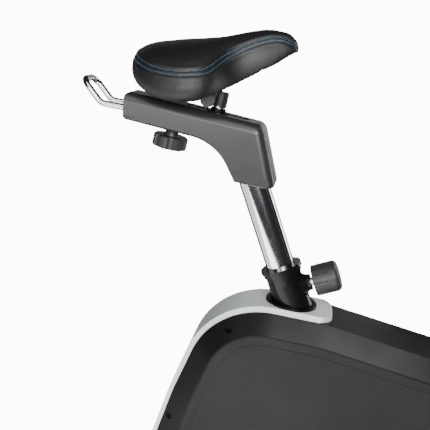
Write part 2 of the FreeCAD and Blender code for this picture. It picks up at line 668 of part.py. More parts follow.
def mast_base():
    body = tube(MAST_R + 3.1, MAST_R + 0.1, MAST_FOOT - MAST_AXIS * 8, MAST_FOOT + MAST_AXIS * 330)
    body = body.cut(block(200, 500, -60, 60, 0, SPINE_HIGH))
    gusset = slab([(MAST_X - 90, SPINE_HIGH, 0), (MAST_X - 25, SPINE_HIGH, 0),
                   (MAST_X - 36, SPINE_HIGH + 90, 0)], -3, 3)
    return fuse([body, gusset.cut(rod(MAST_R + 2, MAST_FOOT - MAST_AXIS * 20,
                                      MAST_FOOT + MAST_AXIS * 400))])


def stabiliser(x):
    body = cross_tube(STAB_R, STAB_R - 2.5, x, STAB_Z, -STAB_HALF, STAB_HALF)
    for y in (-14, 14):
        body = body.cut(rod(4.5, V(x - 40, y, STAB_Z), V(x + 40, y, STAB_Z)))
    return body


def end_cap(x, y):
    """Moulded cap over the end of a stabiliser tube."""
    side = 1 if y > 0 else -1
    body = cross_rod(STAB_R + 5, x, STAB_Z, min(y - side * 34, y + side * 20),
                     max(y - side * 34, y + side * 20))
    rounded = [e for e in body.Edges if abs(e.CenterOfMass.y - (y + side * 20)) < 0.1]
    body = body.makeFillet(9, rounded)
    low, high = sorted((y - side * 40, y))
    return body.cut(cross_rod(STAB_R + 0.1, x, STAB_Z, low, high))


def end_caps():
    return group([end_cap(x, y) for x in (REAR_X, FRONT_X) for y in (-STAB_HALF, STAB_HALF)])


def wheel_yoke(x, y):
    """Bracket on the front tube that carries one transport wheel."""
    ring = cross_tube(STAB_R + 4.5, STAB_R + 0.1, FRONT_X, STAB_Z, y - 16, y + 16)
    ears = []
    for low in (y - 15, y + 10.5):
        ears.append(slab([(FRONT_X + 10, STAB_Z - 34, 4), (x + 12, WHEEL_Z - 12, 8),
                          (x + 12, WHEEL_Z + 12, 8), (FRONT_X + 22, STAB_Z + 16, 4)],
                         low, low + 4.5))
    body = ring
    for ear in ears:
        body = body.fuse(ear.cut(cross_rod(STAB_R + 1, FRONT_X, STAB_Z, -300, 300)))
    body = body.cut(cross_rod(4.02, x, WHEEL_Z, y - 30, y + 30))
    clear = cross_rod(WHEEL_R + 1.5, x, WHEEL_Z, y - 10.5, y + 10.5)
    return body.cut(clear).removeSplitter()


def wheel_yokes():
    return both(wheel_yoke(WHEEL_X, -WHEEL_Y))


def wheel_axles():
    axle = cross_rod(4.0, WHEEL_X, WHEEL_Z, -WHEEL_Y - 15, -WHEEL_Y + 15)
    heads = [cross_rod(7.0, WHEEL_X, WHEEL_Z, y, y + 3) for y in (-WHEEL_Y - 18.05, -WHEEL_Y + 15.05)]
    return both(fuse([axle.fuse(cross_rod(4.0, WHEEL_X, WHEEL_Z, -WHEEL_Y - 17, -WHEEL_Y + 17))]
                     + heads))


def transport_wheel(y):
    half = WHEEL_W / 2
    body = cross_rod(WHEEL_R, WHEEL_X, WHEEL_Z, y - half, y + half)
    body = body.makeFillet(3, [e for e in body.Edges if e.BoundBox.YLength < 0.01])
    for low in (y - half - 1, y + half - 3):
        body = body.cut(cross_tube(13, 8, WHEEL_X, WHEEL_Z, low, low + 4))
    return body.cut(cross_rod(4.06, WHEEL_X, WHEEL_Z, y - 20, y + 20))


def levelling_foot(x, y):
    pad = rod(FOOT_R, V(x, y, 0), V(x, y, 9))
    pad = pad.makeFillet(2.5, [e for e in pad.Edges if e.BoundBox.ZMin > 8.9])
    for i in range(12):
        angle = 2 * pi * i / 12
        pad = pad.cut(Part.makeCylinder(2.4, 20, V(x + (FOOT_R + 1) * cos(angle),
                                                   y + (FOOT_R + 1) * sin(angle), -5)))
    return fuse([pad, rod(4.95, V(x, y, 8), V(x, y, 40))])


def foot_nuts(x, y):
    """Threaded block under the tube that takes the levelling screw."""
    body = rod(11, V(x, y, 13), V(x, y, 30)).cut(cross_rod(STAB_R, x, STAB_Z, -300, 300))
    return body.cut(rod(5.0, V(x, y, 0), V(x, y, 60)))


def rear_stabiliser():
    body = stabiliser(REAR_X)
    for y in (-REAR_FOOT_Y, REAR_FOOT_Y):
        body = body.cut(rod(5.0, V(REAR_X, y, 10), V(REAR_X, y, 45)))
        body = body.fuse(foot_nuts(REAR_X, y))
    return body.removeSplitter()


def front_feet():
    feet = []
    for y in (-FOOT_Y, FOOT_Y):
        pad = rod(FOOT_R, V(FRONT_X, y, 0), V(FRONT_X, y, 30))
        pad = pad.cut(cross_rod(STAB_R + 5.1, FRONT_X, STAB_Z, -400, 400))
        feet.append(pad)
    return group(feet)


def stabiliser_bolts():
    bolts = []
    for x, side in ((REAR_X, -1), (FRONT_X, 1)):
        for y in (-14, 14):
            head = rod(7.5, V(x + side * (STAB_R + 0.3), y, STAB_Z),
                       V(x + side * (STAB_R + 7), y, STAB_Z))
            bolts.append(fuse([head, rod(4.4, V(x - side * 38, y, STAB_Z),
                                         V(x + side * (STAB_R + 1), y, STAB_Z))]))
    return group(bolts)


# ---------------------------------------------------------------- drive

def crank_axle():
    return cross_rod(AXLE_R, CRANK_X, CRANK_Z, -91, 91)


def crank_bearings():
    ring = cross_tube(SHELL_BORE - 0.03, AXLE_R + 0.03, CRANK_X, CRANK_Z, 21, SHELL_HALF)
    return both(ring)


def drive_pulley():
    half = BELT_W / 2 + 1.5
    body = cross_rod(PULLEY_R, CRANK_X, CRANK_Z, BELT_Y - half, BELT_Y + half)
    for low in (BELT_Y - half - 1, BELT_Y + 1.5):
        body = body.cut(cross_tube(PULLEY_R - 9, 24, CRANK_X, CRANK_Z, low, low + half))
    groove = cross_tube(PULLEY_R + 2, PULLEY_R - BELT_T, CRANK_X, CRANK_Z,
                        BELT_Y - BELT_W / 2 - 0.3, BELT_Y + BELT_W / 2 + 0.3)
    body = body.cut(groove)
    for i in range(6):
        angle = 2 * pi * i / 6
        x, z = CRANK_X + 56 * cos(angle), CRANK_Z + 56 * sin(angle)
        body = body.cut(cross_rod(17, x, z, 0, 90))
    return body.cut(cross_rod(AXLE_R + 0.02, CRANK_X, CRANK_Z, 0, 90))


def belt_wire(extra, y):
    """Loop around the drive pulley and the flywheel's small pulley."""
    r0, r1 = PULLEY_R - BELT_T + extra, SMALL_PULLEY_R + extra
    dx, dz = FLY_X - CRANK_X, FLY_Z - CRANK_Z
    dist = hypot(dx, dz)
    base = atan2(dz, dx)
    spread = acos((r0 - r1) / dist)
    pts = []
    for sign in (1, -1):
        angle = base + sign * spread
        pts.append((V(CRANK_X + r0 * cos(angle), y, CRANK_Z + r0 * sin(angle)),
                    V(FLY_X + r1 * cos(angle), y, FLY_Z + r1 * sin(angle))))
    far0 = V(CRANK_X - r0 * cos(base), y, CRANK_Z - r0 * sin(base))
    far1 = V(FLY_X + r1 * cos(base), y, FLY_Z + r1 * sin(base))
    return Part.Wire([Part.makeLine(pts[0][0], pts[0][1]),
                      Part.Arc(pts[0][1], far1, pts[1][1]).toShape(),
                      Part.makeLine(pts[1][1], pts[1][0]),
                      Part.Arc(pts[1][0], far0, pts[0][0]).toShape()])


def drive_belt():
    y0 = BELT_Y - BELT_W / 2
    outer = Part.Face(belt_wire(0.3 + BELT_T, y0)).extrude(V(0, BELT_W, 0))
    inner = Part.Face(belt_wire(0.3, y0)).extrude(V(0, BELT_W, 0))
    return outer.cut(inner)


def flywheel():
    body = cross_rod(FLY_R, FLY_X, FLY_Z, -FLY_HALF, FLY_HALF)
    for low in (-FLY_HALF - 1, 6):
        body = body.cut(cross_tube(FLY_R - 24, 26, FLY_X, FLY_Z, low, low + FLY_HALF - 5))
    for i in range(5):
        angle = 2 * pi * i / 5
        x, z = FLY_X + 57 * cos(angle), FLY_Z + 57 * sin(angle)
        body = body.cut(cross_rod(14, x, z, -60, 60))
    return body.cut(cross_rod(8.06, FLY_X, FLY_Z, -60, 60))


def flywheel_pulley():
    half = BELT_W / 2
    parts = [cross_rod(SMALL_PULLEY_R, FLY_X, FLY_Z, FLY_HALF + 0.02, BELT_Y + half + 2),
             cross_rod(SMALL_PULLEY_R + 3.5, FLY_X, FLY_Z, BELT_Y + half + 0.4, BELT_Y + half + 2.4)]
    body = fuse(parts)
    body = body.cut(cross_rod(8.06, FLY_X, FLY_Z, -90, 90))
    return body.cut(block(FLY_X - 60, FLY_X + 60, 27.0, 34.0, FLY_Z - 60, FLY_Z + 60).cut(
        cross_rod(9.6, FLY_X, FLY_Z, 20, 40)))


def flywheel_axle():
    return cross_rod(8.0, FLY_X, FLY_Z, -36, BELT_Y + BELT_W / 2 + 4)


def idler_roller():
    half = BELT_W / 2 + 1
    x, z = idler_centre()
    return cross_tube(IDLER_R, 6.05, x, z, BELT_Y - half, BELT_Y + half)


BRAKE_PIVOT = (FLY_X + 98, FLY_Z - 96)


def brake_arc(r_in, r_out, half, a0, a1):
    span = []
    steps = [a0, (a0 + a1) / 2, a1]
    for r in (r_in, r_out):
        span.append([V(FLY_X + r * cos(a), -half, FLY_Z + r * sin(a)) for a in steps])
    wire = Part.Wire([Part.Arc(*span[0]).toShape(), Part.makeLine(span[0][2], span[1][2]),
                      Part.Arc(*span[1][::-1]).toShape(), Part.makeLine(span[1][0], span[0][0])])
    return Part.Face(wire).extrude(V(0, 2 * half, 0))


def magnet_bracket():
    x, z = BRAKE_PIVOT
    arc = brake_arc(FLY_R + 6, FLY_R + 13, 18, radians(-32), radians(12))
    lug = slab([(x - 12, z - 12, 5), (x + 12, z - 12, 5), (x + 16, z + 34, 3), (x - 2, z + 34, 3)],
               -18, 18)
    lug = lug.cut(cross_rod(FLY_R + 6, FLY_X, FLY_Z, -40, 40))
    body = fuse([arc, lug])
    return body.cut(cross_rod(5.05, x, z, -60, 60))


def brake_mount():
    """Ears and pin that the magnet bracket turns on."""
    x, z = BRAKE_PIVOT
    pin = cross_rod(5.0, x, z, -27, 27)
    ear = slab([(x - 10, SPINE_HIGH + 0.02, 0), (x + 10, SPINE_HIGH + 0.02, 0),
                (x + 8, z + 9, 5), (x - 8, z + 9, 5)], 19, 23)
    ear = ear.cut(cross_rod(5.02, x, z, -60, 60))
    return [pin, ear, mirror(ear)]


def crank_end(side):
    angle = CRANK_ANGLE if side < 0 else CRANK_ANGLE + pi
    return CRANK_X + CRANK_LEN * cos(angle), CRANK_Z + CRANK_LEN * sin(angle)


def crank(side):
    x, z = crank_end(side)
    low, high = sorted((side * 73, side * 90))
    arm_low, arm_high = sorted((side * 77, side * 89))
    dx, dz = (x - CRANK_X) / CRANK_LEN, (z - CRANK_Z) / CRANK_LEN
    nx, nz = -dz, dx
    outline = [(CRANK_X + nx * 15, CRANK_Z + nz * 15, 0), (x + nx * 11, z + nz * 11, 0),
               (x - nx * 11, z - nz * 11, 0), (CRANK_X - nx * 15, CRANK_Z - nz * 15, 0)]
    body = fuse([slab(outline, arm_low, arm_high),
                 cross_rod(20, CRANK_X, CRANK_Z, low, high),
                 cross_rod(14, x, z, arm_low, arm_high)])
    body = body.cut(cross_rod(AXLE_R + 0.02, CRANK_X, CRANK_Z, -100, 100))
    return body.cut(cross_rod(7.02, x, z, -120, 120))


def spindle(side):
    x, z = crank_end(side)
    low, high = sorted((side * 76, side * (PEDAL_Y + PEDAL_L / 2 - 6)))
    flange_low, flange_high = sorted((side * 89.1, side * 95))
    return cross_rod(7.0, x, z, low, high).fuse(
        cross_rod(11, x, z, flange_low, flange_high)).removeSplitter()


def pedal(side):
    x, z = crank_end(side)
    y0, y1 = PEDAL_Y - PEDAL_L / 2, PEDAL_Y + PEDAL_L / 2
    half_w, half_h = PEDAL_W / 2, PEDAL_H / 2
    body = plan([(x - half_w + 6, y0, 10), (x + half_w - 6, y0, 10), (x + half_w, y1 - 8, 16),
                 (x + half_w - 16, y1, 16), (x - half_w + 16, y1, 16), (x - half_w, y1 - 8, 16)],
                z - half_h, z + half_h)
    for lift in (-1, 1):
        for i in range(5):
            mid = x - 28 + 14 * i
            base = z + lift * half_h
            body = body.cut(block(mid - 2.5, mid + 2.5, y0 + 12, y1 - 14, base - 3, base + 3))
    for dx in (-26, 26):
        body = body.cut(block(x + dx - 9, x + dx + 9, y0 + 22, y1 - 26, z - 40, z + 40))
    body = body.cut(cross_rod(7.06, x, z, y0 - 5, y1 - 5))
    return body if side > 0 else mirror(body)


def pedal_strap(side):
    """Band over the foot, fixed to the two long edges of the pedal."""
    x, z = crank_end(side)
    half_w = PEDAL_W / 2
    y0, y1 = PEDAL_Y - 8, PEDAL_Y + 22
    outer = [(x - half_w - 3.4, z - 9, 2), (x + half_w + 3.4, z - 9, 2),
             (x + half_w + 3.4, z + 34, 20), (x + 22, z + 68, 30), (x - 22, z + 68, 30),
             (x - half_w - 3.4, z + 34, 20)]
    inner = [(x - half_w - 0.4, z - 12, 0), (x + half_w + 0.4, z - 12, 0),
             (x + half_w + 0.4, z + 33, 17), (x + 20.6, z + 65, 27), (x - 20.6, z + 65, 27),
             (x - half_w - 0.4, z + 33, 17)]
    body = slab(outer, y0, y1).cut(slab(inner, y0 - 1, y1 + 1))
    return body if side > 0 else mirror(body)


# ---------------------------------------------------------------- mast, bar and console

def mast_point(z):
    return MAST_FOOT + MAST_AXIS * ((z - MAST_Z) / cos(MAST_LEAN))


def console_mast():
    return tube(MAST_R, MAST_BORE, mast_point(300), mast_point(MAST_TOP))


def mast_shroud():
    low, high = mast_point(475), mast_point(570)
    body = cone(46, 33, low, high)
    body = body.makeFillet(4, [e for e in body.Edges if e.CenterOfMass.z > 562])
    return body.cut(rod(MAST_R + 0.4, mast_point(300), mast_point(700)))


def bar_centre():
    return mast_point(BAR_Z) - V(50, 0, 0)


def bar_points(side):
    c = bar_centre()
    return [c, c + V(0, side * 150, 0), c + V(-60, side * 225, 30), c + V(-190, side * 228, 92)]


def handlebar():
    left = bar_points(1)
    right = bar_points(-1)
    path = right[1:][::-1] + left[1:]
    return pipe(BAR_R, path, 45).cut(pipe(BAR_R - BAR_WALL, path, 45))


def grip_sleeve(side, start, end, outer):
    p = bar_points(side)
    run = (p[3] - p[2]).normalize()
    inner = BAR_R + 0.02
    return tube(outer, inner, p[3] - run * start, p[3] - run * end)


def handlebar_grips():
    grips = []
    for side in (-1, 1):
        p = bar_points(side)
        run = (p[3] - p[2]).normalize()
        body = grip_sleeve(side, 98, 0, 16.0)
        cap = rod(16.0, p[3] + run * 0.1, p[3] + run * 5)
        grips.append(body.fuse(cap.fuse(tube(16.0, BAR_R + 0.02, p[3], p[3] + run * 0.2))))
    return group([g.removeSplitter() for g in grips])


def handlebar_clamp():
    c = bar_centre()
    m = mast_point(BAR_Z)
    body = fuse([cross_rod(24, c.x, c.z, -30, 30),
                 block(c.x, m.x, -26, 26, c.z - 22, c.z + 22),
                 tube(MAST_R + 7, MAST_R, mast_point(BAR_Z - 30), mast_point(BAR_Z + 30))])
    body = body.cut(rod(MAST_R + 0.05, mast_point(BAR_Z - 200), mast_point(BAR_Z + 200)))
    return body.cut(cross_rod(BAR_R + 0.06, c.x, c.z, -60, 60))


def clamp_knob():
    """Tee screw on the bar clamp."""
    c = bar_centre()
    shank = rod(5, V(c.x, 0, c.z - 24.5), V(c.x, 0, c.z - 60))
    tee = rod(8.5, V(c.x, -30, c.z - 62), V(c.x, 30, c.z - 62))
    neck = rod(10, V(c.x, 0, c.z - 44), V(c.x, 0, c.z - 56))
    return fuse([shank, tee, neck])


CONSOLE_TILT = radians(38)
CONSOLE_UP = V(-sin(CONSOLE_TILT), 0, cos(CONSOLE_TILT))
CONSOLE_AHEAD = V(cos(CONSOLE_TILT), 0, sin(CONSOLE_TILT))


def console_point(a, h):
    return mast_point(MAST_TOP) + V(6, 0, 50) + CONSOLE_AHEAD * a + CONSOLE_UP * h


def console_box(corners, h0, h1):
    wire = rounded_wire(corners, lambda a, b: V(a, b, h0))
    body = Part.Face(wire).extrude(V(0, 0, h1 - h0))
    return placed(body, console_point(0, 0), CONSOLE_AHEAD, CONSOLE_UP)


CONSOLE_CORNERS = [(-62, -72, 22), (70, -98, 34), (70, 98, 34), (-62, 72, 22)]
SCREEN_CORNERS = [(-16, -58, 8), (50, -66, 8), (50, 66, 8), (-16, 58, 8)]
BUTTON_Y = (-42, 0, 42)


def console_housing():
    body = console_box(CONSOLE_CORNERS, -22, 16)
    body = body.makeFillet(6, [e for e in body.Edges
                               if (e.CenterOfMass - console_point(0, 16)).dot(CONSOLE_UP) > -0.1])
    wide = [(a + (1 if a > 0 else -1) * 0.3, b + (1 if b > 0 else -1) * 0.3, r)
            for a, b, r in SCREEN_CORNERS]
    body = body.cut(console_box(wide, 12.9, 20))
    for y in BUTTON_Y:
        body = body.cut(console_box([(-48, y - 15, 5.3), (-29, y - 15, 5.3),
                                     (-29, y + 15, 5.3), (-48, y + 15, 5.3)], 9, 20))
    neck = rod(MAST_R + 5, mast_point(MAST_TOP - 26), mast_point(MAST_TOP + 44))
    neck = neck.cut(console_box([(-200, -200, 0), (200, -200, 0), (200, 200, 0), (-200, 200, 0)],
                                -21, 200))
    body = body.fuse(neck)
    return body.cut(rod(MAST_R + 0.05, mast_point(900), mast_point(MAST_TOP + 0.1))).removeSplitter()


def console_screen():
    return console_box(SCREEN_CORNERS, 13, 15.4)


def console_button(y):
    cap = console_box([(-47.5, y - 14.5, 5), (-29.5, y - 14.5, 5),
                       (-29.5, y + 14.5, 5), (-47.5, y + 14.5, 5)], 11.6, 18)
    return cap


def build():
    os.makedirs("parts", exist_ok=True)
    save("seat_post", seat_post())
    save("seat_collar", seat_collar())
    save("collar_flange", collar_flange())
    save("post_bush", post_bush())
    save("height_plunger", height_plunger())
    save("height_knob", height_knob())
    save("seat_arm", seat_arm())
    save("arm_slide_rail", group([arm_slide_rail(), saddle_stem()]))
    save("loop_handle", loop_handle())
    save("star_knob", star_knob())
    save("stem_collar", stem_collar())
    save("saddle_clamp", saddle_clamp())
    save("clamp_bolt", clamp_bolt())
    save("saddle_bracket", saddle_bracket())
    save("saddle_base", saddle_base())
    save("saddle_cushion", saddle_cushion())
    left = cover_half()
    save("left_cover", left)
    save("right_cover", mirror(left))
    save("trim_band", trim_band().cut(flange_space()))
    save("inset_panels", both(inset_panel()))
    save("cover_screws", cover_screws())
    save("spine_tube", spine_tube())
    save("seat_tube", seat_tube())
    save("crank_bracket", crank_bracket())
    save("flywheel_brackets", flywheel_brackets())
    save("mast_base", mast_base())
    save("front_stabiliser", stabiliser(FRONT_X))
    save("rear_stabiliser", rear_stabiliser())
    save("stabiliser_end_caps", group([end_caps(), front_feet()]))
    save("wheel_yokes", group([wheel_yokes(), wheel_axles()]))
    save("transport_wheel_right", transport_wheel(-WHEEL_Y))
    save("transport_wheel_left", transport_wheel(WHEEL_Y))
    save("levelling_foot_right", levelling_foot(REAR_X, -REAR_FOOT_Y))
    save("levelling_foot_left", levelling_foot(REAR_X, REAR_FOOT_Y))
    save("stabiliser_bolts", stabiliser_bolts())
    save("crank_axle", crank_axle())
    save("crank_bearings", crank_bearings())
    save("drive_pulley", drive_pulley())
    save("drive_belt", drive_belt())
    save("flywheel", flywheel())
    save("flywheel_pulley", flywheel_pulley())
    save("idler_roller", idler_roller())
    save("magnet_bracket", magnet_bracket())
    for name, side in (("right", -1), ("left", 1)):
        save(name + "_crank", group([crank(side), spindle(side)]))
        save(name + "_pedal", pedal(side))
        save(name + "_pedal_strap", pedal_strap(side))
    save("console_mast", console_mast())
    save("mast_shroud", mast_shroud())
    save("handlebar", handlebar())
    save("handlebar_grips", handlebar_grips())
    save("handlebar_clamp", handlebar_clamp())
    save("clamp_knob", clamp_knob())
    save("console_housing", console_housing())
    save("console_screen", console_screen())
    for name, y in zip(("right", "middle", "left"), BUTTON_Y):
        save("console_button_" + name, console_button(y))


build()
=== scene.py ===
"""Looks of the upright exercise bike: materials, padded saddle, stitching, light and camera."""
import json
import math

import bmesh
import bpy
import numpy as np
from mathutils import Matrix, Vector
from mathutils.bvhtree import BVHTree
from mathutils.kdtree import KDTree


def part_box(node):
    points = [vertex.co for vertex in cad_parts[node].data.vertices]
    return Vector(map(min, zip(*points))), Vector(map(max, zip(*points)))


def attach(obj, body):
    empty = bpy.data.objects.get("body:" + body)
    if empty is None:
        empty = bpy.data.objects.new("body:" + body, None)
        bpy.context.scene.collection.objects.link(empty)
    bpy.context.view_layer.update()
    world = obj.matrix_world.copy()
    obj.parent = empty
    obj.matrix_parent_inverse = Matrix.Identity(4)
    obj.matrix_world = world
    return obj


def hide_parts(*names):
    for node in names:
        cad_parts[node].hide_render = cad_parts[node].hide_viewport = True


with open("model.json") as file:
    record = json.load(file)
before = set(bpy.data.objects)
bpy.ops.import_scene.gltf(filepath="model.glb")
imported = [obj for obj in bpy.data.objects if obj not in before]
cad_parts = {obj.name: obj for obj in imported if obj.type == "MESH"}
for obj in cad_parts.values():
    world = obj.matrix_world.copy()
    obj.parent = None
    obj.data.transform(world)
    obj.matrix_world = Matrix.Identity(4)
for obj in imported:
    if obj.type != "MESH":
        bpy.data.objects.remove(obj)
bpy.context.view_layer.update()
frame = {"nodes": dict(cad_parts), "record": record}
NODES = frame["nodes"]
MM = 0.001

# The collar's rim, worked out from the frame: the saddle, lights and camera are placed from it
POST_LEAN = math.radians(18.37)
RIM_R = 0.0365
COLLAR_LOW, COLLAR_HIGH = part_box("seat_collar")
RIM = Vector((COLLAR_LOW[0] + RIM_R * math.cos(POST_LEAN), 0,
              COLLAR_HIGH[2] - RIM_R * math.sin(POST_LEAN)))


# ---------------------------------------------------------------- small tools

def rel(x, y, z):
    """Point given in millimetres from the middle of the collar's rim."""
    return RIM + Vector((x, y, z)) * MM


def new_object(name, mesh, material, body):
    obj = bpy.data.objects.new(name, mesh)
    bpy.context.collection.objects.link(obj)
    mesh.materials.clear()
    mesh.materials.append(material)
    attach(obj, body)
    return obj


def smooth(obj):
    for poly in obj.data.polygons:
        poly.use_smooth = True


CURVE_STEPS = 24    # steps between two given points, before they are evenly spaced


def curve_points(points, count, closed=False):
    """Evenly spaced points on a smooth curve through the given points."""
    pts = np.array(points, float)
    if closed:
        pts = np.vstack([pts[-1], pts, pts[0], pts[1]])
    else:
        pts = np.vstack([2 * pts[0] - pts[1], pts, 2 * pts[-1] - pts[-2]])
    fine = []
    for i in range(1, len(pts) - 2):
        p0, p1, p2, p3 = pts[i - 1:i + 3]
        for t in np.linspace(0, 1, CURVE_STEPS, endpoint=False):
            fine.append(0.5 * ((2 * p1) + (p2 - p0) * t + (2 * p0 - 5 * p1 + 4 * p2 - p3) * t ** 2
                               + (3 * p1 - p0 - 3 * p2 + p3) * t ** 3))
    fine.append(pts[-2])
    fine = np.array(fine)
    run = np.concatenate([[0], np.cumsum(np.linalg.norm(np.diff(fine, axis=0), axis=1))])
    at = np.linspace(0, run[-1], count, endpoint=not closed)
    return np.stack([np.interp(at, run, fine[:, k]) for k in range(fine.shape[1])], axis=1)


def blend_between(x, table):
    xs = [row[0] for row in table]
    return np.interp(x, xs, [row[1] for row in table])


# ---------------------------------------------------------------- materials

def material(name, colour, rough, metal=0.0, coat=0.0, coat_rough=0.1, spec=0.5):
    mat = bpy.data.materials.new(name)
    mat.use_nodes = True
    shader = mat.node_tree.nodes["Principled BSDF"]
    shader.inputs["Base Color"].default_value = (*colour, 1)
    shader.inputs["Roughness"].default_value = rough
    shader.inputs["Metallic"].default_value = metal
    shader.inputs["Coat Weight"].default_value = coat
    shader.inputs["Coat Roughness"].default_value = coat_rough
    shader.inputs["Specular IOR Level"].default_value = spec
    return mat


def object_coords(mat):
    return mat.node_tree.nodes.new("ShaderNodeTexCoord").outputs["Object"]


def noise(mat, scale, detail=3.0, rough=0.5):
    node = mat.node_tree.nodes.new("ShaderNodeTexNoise")
    node.inputs["Scale"].default_value = scale
    node.inputs["Detail"].default_value = detail
    node.inputs["Roughness"].default_value = rough
    mat.node_tree.links.new(object_coords(mat), node.inputs["Vector"])
    return node.outputs["Fac"]


def cells(mat, scale):
    node = mat.node_tree.nodes.new("ShaderNodeTexVoronoi")
    node.inputs["Scale"].default_value = scale
    mat.node_tree.links.new(object_coords(mat), node.inputs["Vector"])
    return node.outputs["Distance"]


def remap(mat, value, low, high, from_low=0.3, from_high=0.7):
    node = mat.node_tree.nodes.new("ShaderNodeMapRange")
    node.inputs["From Min"].default_value = from_low
    node.inputs["From Max"].default_value = from_high
    node.inputs["To Min"].default_value = low
    node.inputs["To Max"].default_value = high
    mat.node_tree.links.new(value, node.inputs["Value"])
    return node.outputs["Result"]


def vary_rough(mat, scale, low, high):
    shader = mat.node_tree.nodes["Principled BSDF"]
    mat.node_tree.links.new(remap(mat, noise(mat, scale), low, high), shader.inputs["Roughness"])


def vary_colour(mat, scale, dark, light):
    shader = mat.node_tree.nodes["Principled BSDF"]
    mix = mat.node_tree.nodes.new("ShaderNodeMix")
    mix.data_type = "RGBA"
    mix.inputs["A"].default_value = (*dark, 1)
    mix.inputs["B"].default_value = (*light, 1)
    mat.node_tree.links.new(remap(mat, noise(mat, scale), 0, 1), mix.inputs["Factor"])
    mat.node_tree.links.new(mix.outputs["Result"], shader.inputs["Base Color"])


def bump(mat, height, strength, distance):
    node = mat.node_tree.nodes.new("ShaderNodeBump")
    node.inputs["Strength"].default_value = strength
    node.inputs["Distance"].default_value = distance
    mat.node_tree.links.new(height, node.inputs["Height"])
    shader = mat.node_tree.nodes["Principled BSDF"]
    mat.node_tree.links.new(node.outputs["Normal"], shader.inputs["Normal"])


def textured(name, colour, rough, grain, strength=0.25, **more):
    """Moulded plastic or paint: fine bump, uneven gloss and a little unevenness of colour."""
    mat = material(name, colour, rough, **more)
    bump(mat, noise(mat, grain, 2), strength, 0.0002)
    vary_rough(mat, 14, rough * 0.88, rough * 1.12)
    vary_colour(mat, 9, [c * 0.9 for c in colour], [c * 1.1 for c in colour])
    return mat


def leather():
    mat = material("saddle_leather", (0.0058, 0.0059, 0.0066), 0.5, spec=0.62)
    shader = mat.node_tree.nodes["Principled BSDF"]
    shader.inputs["Sheen Weight"].default_value = 0.02
    shader.inputs["Sheen Roughness"].default_value = 0.4
    tree = mat.node_tree
    add = tree.nodes.new("ShaderNodeMath")
    add.operation = "ADD"
    tree.links.new(remap(mat, cells(mat, 700), 0, 1, 0, 0.6), add.inputs[0])
    tree.links.new(noise(mat, 260, 4), add.inputs[1])
    bump(mat, add.outputs[0], 0.28, 0.0004)
    vary_rough(mat, 18, 0.47, 0.58)
    return mat


def brushed(name, colour, rough):
    mat = material(name, colour, rough, metal=1.0)
    bump(mat, noise(mat, 400, 2), 0.08, 0.0001)
    vary_rough(mat, 30, rough * 0.8, rough * 1.2)
    return mat


def chrome():
    mat = material("chrome", (0.86, 0.87, 0.89), 0.12, metal=1.0)
    vary_rough(mat, 25, 0.105, 0.14)
    bump(mat, noise(mat, 60, 2), 0.02, 0.0002)
    return mat


def glass():
    mat = material("display_window", (0.02, 0.028, 0.03), 0.08, coat=1.0, coat_rough=0.03)
    vary_rough(mat, 12, 0.06, 0.12)
    return mat


MATS = {
    "chrome": chrome(),
    "arm_grey": textured("arm_paint", (0.026, 0.0268, 0.029), 0.34, 1500, 0.12, coat=0.35,
                         coat_rough=0.3),
    "black_plastic": textured("black_plastic", (0.005, 0.0051, 0.0058), 0.3, 1600, 0.12, spec=0.13),
    "black_gloss": textured("collar_plastic", (0.006, 0.006, 0.0066), 0.27, 1400, 0.08, coat=0.1,
                            coat_rough=0.12, spec=0.2),
    "knob_grey": textured("knob_plastic", (0.034, 0.0345, 0.037), 0.4, 1600, 0.2),
    "silver_plastic": textured("silver_plastic", (0.80, 0.845, 0.85), 0.34, 1500, 0.1, coat=0.2,
                               coat_rough=0.25),
    "panel_grey": textured("panel_plastic", (0.023, 0.0228, 0.0245), 0.6, 900, 0.35, spec=0.12),
    "saddle_black": leather(),
    "frame_black": textured("powder_coat", (0.014, 0.014, 0.0145), 0.42, 1200, 0.3),
    "steel": brushed("steel", (0.56, 0.56, 0.58), 0.3),
    "zinc": brushed("zinc", (0.5, 0.51, 0.53), 0.32),
    "iron": brushed("cast_iron", (0.22, 0.22, 0.23), 0.5),
    "rubber": textured("rubber", (0.014, 0.014, 0.014), 0.7, 900, 0.4),
    "crank_metal": textured("crank_paint", (0.016, 0.016, 0.017), 0.3, 900, 0.1),
    "pedal_plastic": textured("pedal_plastic", (0.015, 0.015, 0.0155), 0.5, 1200, 0.3),
    "screen": glass(),
    "button": textured("button_plastic", (0.40, 0.42, 0.45), 0.35, 1200, 0.1),
    "bush": textured("bush_plastic", (0.45, 0.45, 0.43), 0.45, 900, 0.1),
}
THREAD = textured("blue_thread", (0.07, 0.2, 0.32), 0.55, 2500, 0.4)

for part in frame["record"]["subparts"]:
    mesh = NODES[part["node"]].data
    mesh.materials.clear()
    mesh.materials.append(MATS[part["material_slot"]])

# The brackets show just below the covers, so they take the frame's paint
NODES["flywheel_brackets"].data.materials[0] = MATS["frame_black"]
# The cover screws are black and sit deep in their recesses, where next to no light reaches them:
# their colour is made darker than the other black plastics as painted shade
SCREW_BLACK_AND_SHADE = textured("screw_black_and_shade", (0.003, 0.003, 0.003), 0.6, 1200, 0.2, spec=0.08)
NODES["cover_screws"].data.materials[0] = SCREW_BLACK_AND_SHADE


# ---------------------------------------------------------------- saddle

# Seam around the saddle, nose to rear: along, half width, height
SEAM = [(23, 0, 371), (18, 11, 377), (5, 20, 383.5), (-12, 26, 387), (-31, 30.5, 384.5),
        (-51, 34, 378.5), (-71, 40, 370), (-88, 51, 361), (-100, 67, 352), (-109, 84, 343.5),
        (-121, 98, 338), (-138, 105, 336.5), (-158, 107, 336.5), (-180, 104, 339),
        (-200, 98, 343.5), (-218, 86, 350), (-232, 69, 356), (-242, 46, 361), (-247.5, 22, 364),
        (-249, 0, 365)]
